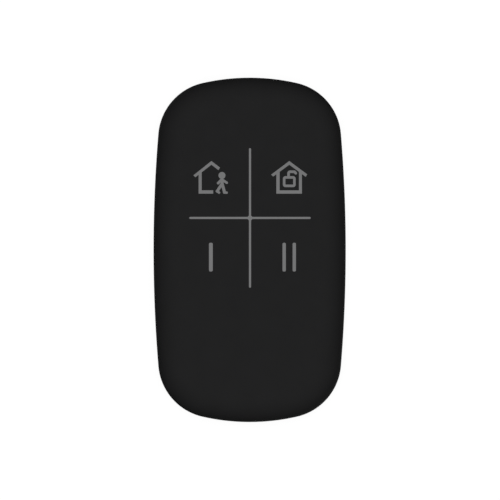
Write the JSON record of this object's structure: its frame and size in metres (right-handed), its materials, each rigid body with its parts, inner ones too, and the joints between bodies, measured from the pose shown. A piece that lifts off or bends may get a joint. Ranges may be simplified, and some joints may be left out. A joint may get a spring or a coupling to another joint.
{
  "type": "alarm key fob",
  "caption": "Slim rounded pocket remote control with four keys under one seamless soft skin, a coin cell behind a turning rear door and a lanyard eye in the lower end.",
  "frame": {"origin": "middle of the flat back face, which lies on the table", "axes": "+Z out of the key face, +Y along the length towards the upper end (the two house keys), +X to the right seen from the key side"},
  "size_m": [0.0344, 0.0618, 0.0119],
  "materials": {
    "soft_skin": "matte soft-touch black",
    "print_grey": "matte grey",
    "inner_plastic": "matte moulded black",
    "shell_plastic": "fine spark-eroded black",
    "screw_steel": "black zinc plated steel",
    "board": "green solder resist",
    "chip_black": "moulded black",
    "can_steel": "plain nickel-silver",
    "ceramic": "tan ceramic",
    "light_white": "milky resin",
    "contact_metal": "plated spring brass",
    "clear": "clear",
    "cell_steel": "satin nickel plated",
    "foam": "closed-cell foam",
    "stem_plastic": "ivory",
    "dome_steel": "spring steel",
    "switch_plastic": "moulded black"
  },
  "bodies": {
    "housing": {"front_skin": "soft_skin", "divider_cross": "print_grey", "front_frame": "inner_plastic", "rear_shell": "shell_plastic", "case_screws": "screw_steel", "circuit_board": "board", "radio_chip": "chip_black", "crystal_can": "can_steel", "chip_capacitors": "ceramic", "status_light": "light_white", "antenna_strip": "contact_metal", "light_guide": "clear", "coin_cell_can": "cell_steel", "coin_cell_cap": "cell_steel", "cell_positive_contact": "contact_metal", "cell_negative_contact": "contact_metal", "away_switch_dome": "dome_steel", "away_switch_base": "switch_plastic", "away_switch_cover": "can_steel", "away_switch_terminals": "contact_metal", "disarm_switch_dome": "dome_steel", "disarm_switch_base": "switch_plastic", "disarm_switch_cover": "can_steel", "disarm_switch_terminals": "contact_metal", "function_one_switch_dome": "dome_steel", "function_one_switch_base": "switch_plastic", "function_one_switch_cover": "can_steel", "function_one_switch_terminals": "contact_metal", "function_two_switch_dome": "dome_steel", "function_two_switch_base": "switch_plastic", "function_two_switch_cover": "can_steel", "function_two_switch_terminals": "contact_metal"},
    "away_key": {"away_key_pad": "inner_plastic", "away_switch_stem": "stem_plastic"},
    "disarm_key": {"disarm_key_pad": "inner_plastic", "disarm_switch_stem": "stem_plastic"},
    "function_one_key": {"function_one_key_pad": "inner_plastic", "function_one_switch_stem": "stem_plastic"},
    "function_two_key": {"function_two_key_pad": "inner_plastic", "function_two_switch_stem": "stem_plastic"},
    "door": {"battery_door": "shell_plastic", "cell_cushion": "foam"}
  },
  "joints": [
    {"name": "away_press", "type": "slide", "parent": "housing", "child": "away_key", "axis": [0, 0, -1], "range_m": [0, 0.0003], "stiffness_N_per_m": 4000, "deforming": ["away_switch_dome"]},
    {"name": "disarm_press", "type": "slide", "parent": "housing", "child": "disarm_key", "axis": [0, 0, -1], "range_m": [0, 0.0003], "stiffness_N_per_m": 4000, "deforming": ["disarm_switch_dome"]},
    {"name": "function_one_press", "type": "slide", "parent": "housing", "child": "function_one_key", "axis": [0, 0, -1], "range_m": [0, 0.0003], "stiffness_N_per_m": 4000, "deforming": ["function_one_switch_dome"]},
    {"name": "function_two_press", "type": "slide", "parent": "housing", "child": "function_two_key", "axis": [0, 0, -1], "range_m": [0, 0.0003], "stiffness_N_per_m": 4000, "deforming": ["function_two_switch_dome"]},
    {"name": "door_turn", "type": "hinge", "parent": "housing", "child": "door", "pos_m": [0, -0.008, 0], "axis": [0, 0, -1], "range_deg": [0, 50]}
  ]
}
